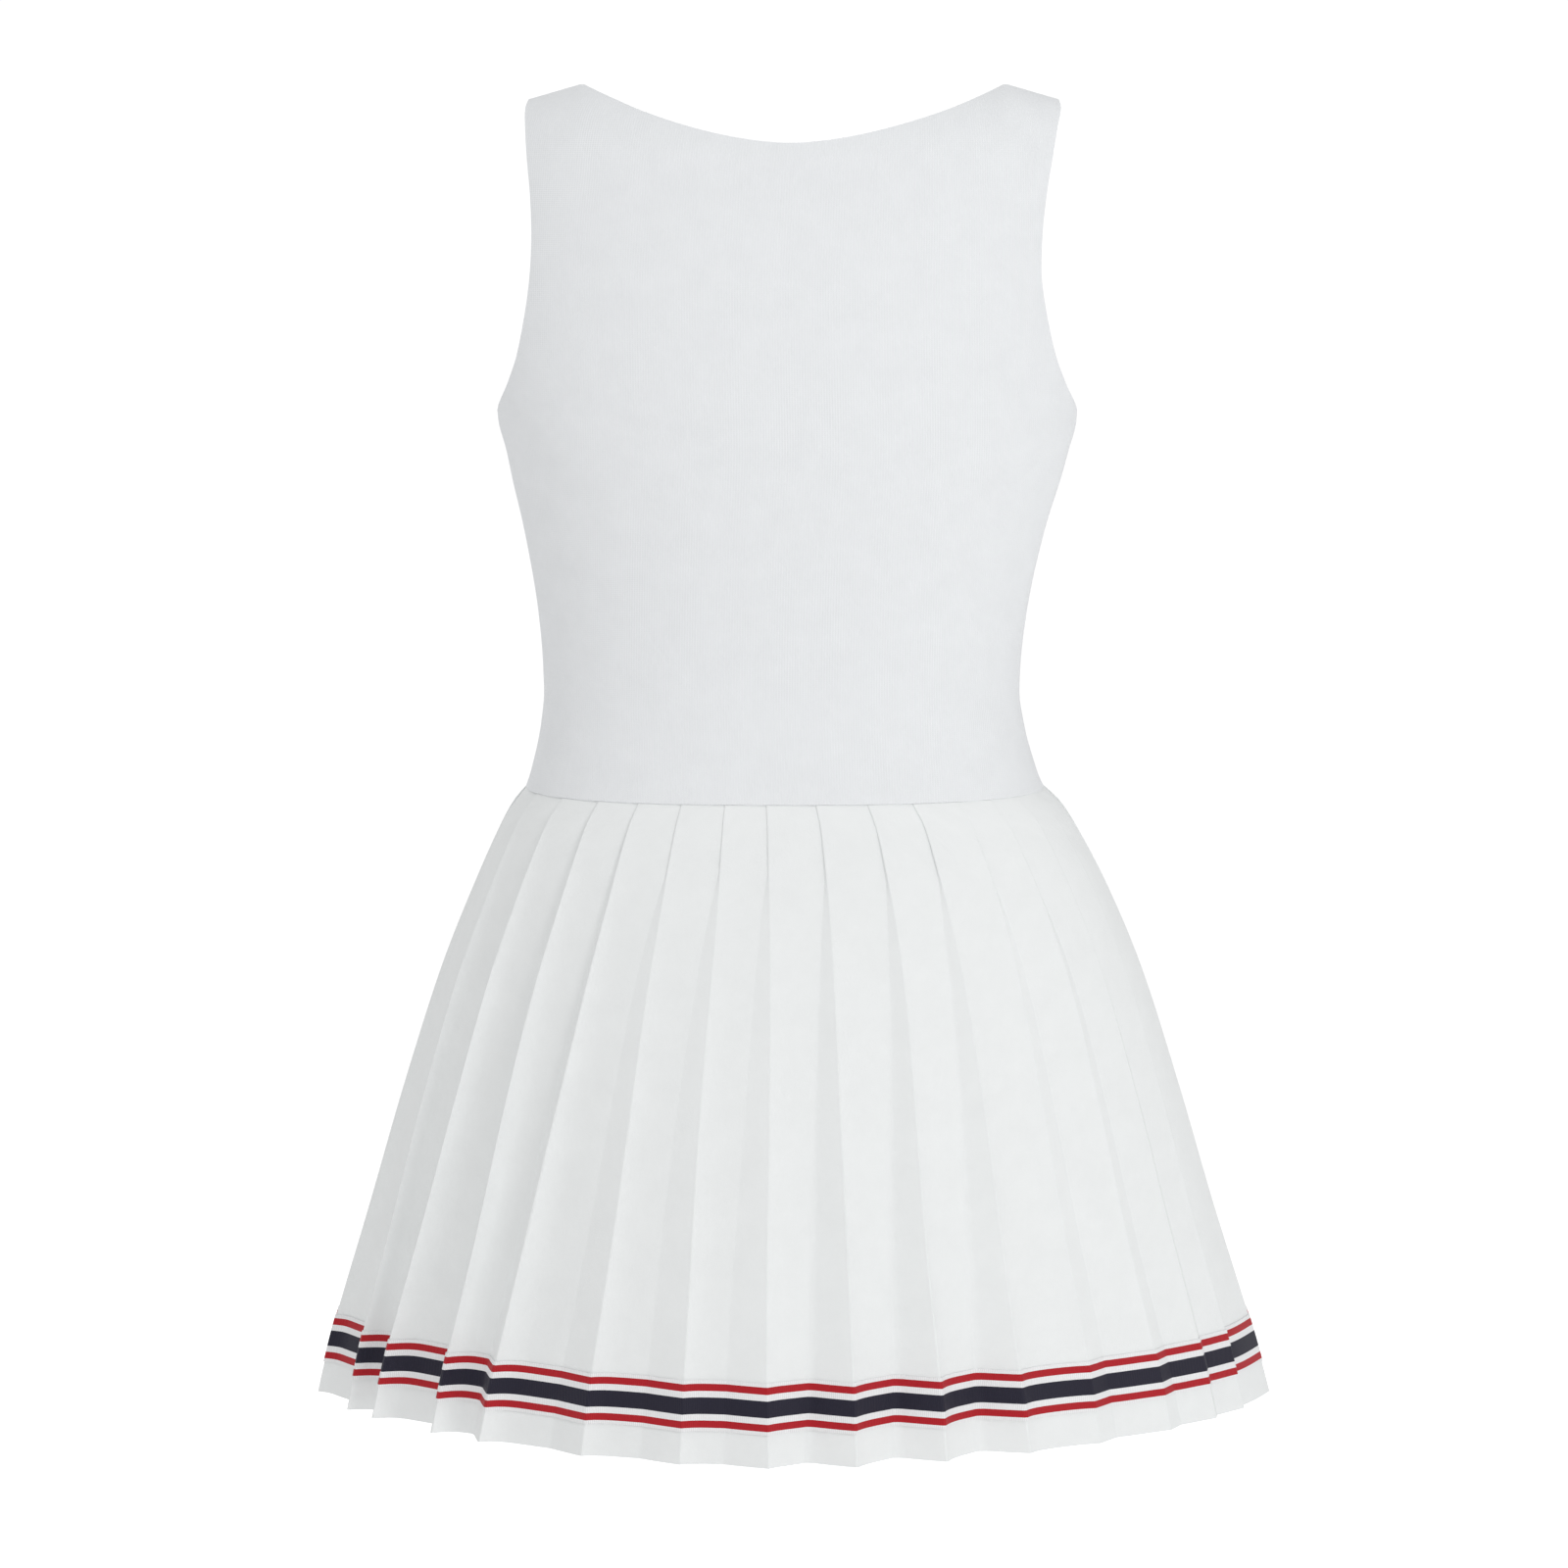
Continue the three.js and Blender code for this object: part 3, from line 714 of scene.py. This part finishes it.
for height in (WAIST_SEAM, -480, -560, -640, RIBBON_TOP, HEM):
    print("cloth at", height, "is", round(line_length(pleated_line(BACK, BACK_FOLDS, height))), "mm long")


# %% [markdown]
# The skirt's rows are those lines, closer together near the waist seam, where the cloth is pulled in. The
# side seams lie in the bottom of an inverted pleat, so that they are hidden when the skirt hangs.

# %% Place a skirt panel
SKIRT_ROWS = 76


def skirt_rows(side, folds):
    seam = WAIST_SEAM - SEAM_GAP / 2
    heights = [seam] + [seam - step for step in SEAM_STEPS]
    heights += [mix(seam, HEM, i / SKIRT_ROWS) for i in range(1, SKIRT_ROWS + 1)]
    heights.reverse()
    points = [pleated_line(side, folds, height) for height in heights]
    for line in points:
        for end in (line[0], line[-1]):
            end.y = side["sign"] * SEAM_GAP / 2
    if side["sign"] > 0:
        points = [line[::-1] for line in points]
    rows = []
    for line in points:
        rows.append([])
        flat = -line_length(line) / 2
        for index, point in enumerate(line):
            flat += (point - line[max(index - 1, 0)]).length
            rows[-1].append((point, (flat, point.z)))
    return rows


# %% [markdown]
# ### The crepe
# The skirt is a light polyester crepe, which holds a heat-pressed pleat. Crepe yarn is twisted hard, and the
# cloth has a fine pebbled grain under a millimetre wide. It is whiter and drier to the eye than the knit.

# %% Crepe of the skirt
crepe, tree, shader = start_material("pleated crepe, white polyester")
flat = add_node(tree, "ShaderNodeUVMap", uv_map="UVMap").outputs["UV"]
pebble = add_node(tree, "ShaderNodeTexNoise", {"Vector": flat, "Scale": 900, "Detail": 2, "Roughness": 0.6})
upright = add_node(tree, "ShaderNodeMapping", {"Vector": flat, "Scale": (1, 0.3, 1)})
slub = add_node(tree, "ShaderNodeTexNoise", {"Vector": upright.outputs[0], "Scale": 260, "Detail": 3})
both = {0: slub.outputs[0], 1: 1.4, 2: pebble.outputs[0]}
grain = add_node(tree, "ShaderNodeMath", both, operation="MULTIPLY_ADD")
bump = add_node(tree, "ShaderNodeBump", {"Height": grain.outputs[0], "Strength": 0.4, "Distance": 0.00025})
mottle = add_node(tree, "ShaderNodeTexNoise", {"Vector": flat, "Scale": 45, "Detail": 5, "Roughness": 0.65})
tint = add_node(tree, "ShaderNodeMix", {"Factor": mottle.outputs[0]}, data_type="RGBA")
tint.inputs[6].default_value = linear("#e9ebeb")
tint.inputs[7].default_value = linear("#f1f3f3")
tree.links.new(tint.outputs[2], shader.inputs["Base Color"])
tree.links.new(bump.outputs[0], shader.inputs["Normal"])
shader.inputs["Roughness"].default_value = 0.9
shader.inputs["Specular IOR Level"].default_value = 0.22
shader.inputs["Sheen Weight"].default_value = 0.08
shader.inputs["Sheen Roughness"].default_value = 0.7
print(crepe.name, "has", len(tree.nodes), "nodes")

# %% Skirt back and front
CREPE_THICKNESS = 0.5
skirt_back = cloth_shell("skirt_back_cloth", skirt_rows(BACK, BACK_FOLDS), CREPE_THICKNESS, crepe)
skirt_front = cloth_shell("skirt_front_cloth", skirt_rows(FRONT, FRONT_FOLDS), CREPE_THICKNESS, crepe)

# %% [markdown]
# ## The ribbon
# The trim is a woven ribbon 28 mm wide, sewn flat onto the skirt before it is pleated, so it follows every
# fold. It is the same line of cloth, moved out by half of both thicknesses and a little air, with its corners
# mitred so that it keeps its distance inside a fold.

# %% Place a ribbon
RIBBON_OFFSET = 0.7
RIBBON_ROWS = 8
LEAST_MITRE = 0.5


def moved_out(line, distance, sign):
    result = []
    for index, point in enumerate(line):
        before = line[max(index - 1, 0)]
        after = line[min(index + 1, len(line) - 1)]
        if index in (0, len(line) - 1):
            result.append(point + Vector((math.copysign(distance, point.x), 0, 0)))
            continue
        first = (point - before).normalized()
        second = (after - point).normalized()
        lean_1 = Vector((first.y, -first.x, 0)) * -sign
        lean_2 = Vector((second.y, -second.x, 0)) * -sign
        mitre = (lean_1 + lean_2).normalized()
        result.append(point + mitre * (distance / max(mitre.dot(lean_1), LEAST_MITRE)))
    return result


def ribbon_rows(side, folds):
    rows = []
    for step in range(RIBBON_ROWS + 1):
        height = mix(RIBBON_BOTTOM, RIBBON_TOP, step / RIBBON_ROWS)
        line = pleated_line(side, folds, height)
        for end in (line[0], line[-1]):
            end.y = side["sign"] * SEAM_GAP / 2
        line = moved_out(line, RIBBON_OFFSET, side["sign"])
        if side["sign"] > 0:
            line.reverse()
        flat = -line_length(line) / 2
        rows.append([])
        for index, point in enumerate(line):
            flat += (point - line[max(index - 1, 0)]).length
            rows[-1].append((point, (flat, RIBBON_TOP - height)))
    return rows


# %% [markdown]
# ### The ribbon's weave
# It is a ribbed polyester ribbon, woven with its ribs across, about one to the millimetre. The bands are
# woven in, so they lie in the same surface: a wide navy one in the middle with a narrow red one on each side,
# on white. A constant colour ramp over the ribbon's width draws them, in millimetres from its upper edge.
# Painted shade makes their colour a little darker in the hollows between the ribs.

# %% Ribbon material
WHITE = linear("#f4f4f5")
RED = linear("#b5101f")
NAVY = linear("#1e1c2e")
BANDS = [(0, WHITE), (2, RED), (6, WHITE), (9.5, NAVY), (18.5, WHITE), (22, RED), (26, WHITE)]
RIBBON_WIDTH = 28
woven, tree, shader = start_material("ribbed ribbon, woven polyester")
flat = add_node(tree, "ShaderNodeUVMap", uv_map="UVMap").outputs["UV"]
parts = add_node(tree, "ShaderNodeSeparateXYZ", {0: flat})
down = add_node(tree, "ShaderNodeMath", {0: parts.outputs["Y"], 1: 1000 / RIBBON_WIDTH}, operation="MULTIPLY")
bands = add_node(tree, "ShaderNodeValToRGB", {"Fac": down.outputs[0]})
bands.color_ramp.interpolation = "CONSTANT"
while len(bands.color_ramp.elements) < len(BANDS):
    bands.color_ramp.elements.new(1)
for element, (start, color) in zip(bands.color_ramp.elements, BANDS):
    element.position = start / RIBBON_WIDTH
    element.color = color
WOVEN_RIB = 0.0012
across = {0: parts.outputs["X"], 1: math.tau / WOVEN_RIB}
rib_turn = add_node(tree, "ShaderNodeMath", across, operation="MULTIPLY")
rib = add_node(tree, "ShaderNodeMath", {0: rib_turn.outputs[0]}, operation="SINE")
fibre = add_node(tree, "ShaderNodeTexNoise", {"Vector": flat, "Scale": 1500, "Detail": 2})
both = {0: fibre.outputs[0], 1: 0.8, 2: rib.outputs[0]}
relief = add_node(tree, "ShaderNodeMath", both, operation="MULTIPLY_ADD")
bump = add_node(tree, "ShaderNodeBump", {"Height": relief.outputs[0], "Strength": 0.5, "Distance": 0.00012})
# painted shade: the bands' colour is made up to 12 % darker in the hollows between the ribs, in step with the
# bump
rib_shade_range = {"Value": rib.outputs[0], "From Min": -1, "To Min": 0.88, "To Max": 1}
painted_rib_shade = add_node(tree, "ShaderNodeMapRange", rib_shade_range)
ribbed_with_painted_shade = add_node(tree, "ShaderNodeMix", {"Factor": 1.0}, data_type="RGBA", blend_type="MULTIPLY")
tree.links.new(bands.outputs[0], ribbed_with_painted_shade.inputs[6])
tree.links.new(painted_rib_shade.outputs[0], ribbed_with_painted_shade.inputs[7])
tree.links.new(ribbed_with_painted_shade.outputs[2], shader.inputs["Base Color"])
tree.links.new(bump.outputs[0], shader.inputs["Normal"])
shader.inputs["Roughness"].default_value = 0.6
shader.inputs["Specular IOR Level"].default_value = 0.3
shader.inputs["Sheen Weight"].default_value = 0.05
print(woven.name, "bands from", [start for start, color in BANDS], "mm")

# %% Ribbon back and front
RIBBON_THICKNESS = 0.5
ribbon_back = cloth_shell("ribbon_back_trim", ribbon_rows(BACK, BACK_FOLDS), RIBBON_THICKNESS, woven)
ribbon_front = cloth_shell("ribbon_front_trim", ribbon_rows(FRONT, FRONT_FOLDS), RIBBON_THICKNESS, woven)

# %% [markdown]
# ## Put the pieces on the dress's body
# Each piece rides on the dress's one body and stands for its solid.

# %% Ride and replace
PIECES = [
    (bodice_back, "bodice_back", "bodice_cloth", (0.47, 0.43), 0.156, "hung"),
    (bodice_front, "bodice_front", "bodice_cloth", (0.49, 0.43), 0.15, "hung"),
    (skirt_back, "skirt_back", "skirt_cloth", (0.88, 0.385), 0.302, "folded"),
    (skirt_front, "skirt_front", "skirt_cloth", (0.88, 0.385), 0.302, "folded"),
    (ribbon_back, "ribbon_back", "hem_ribbon", (0.86, 0.028), None, "folded"),
    (ribbon_front, "ribbon_front", "hem_ribbon", (0.86, 0.028), None, "folded"),
]
for piece, node, slot_name, cut, area, held in PIECES:
    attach(piece, "root")
    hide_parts(node)
    print(piece.name, "stands for", node)
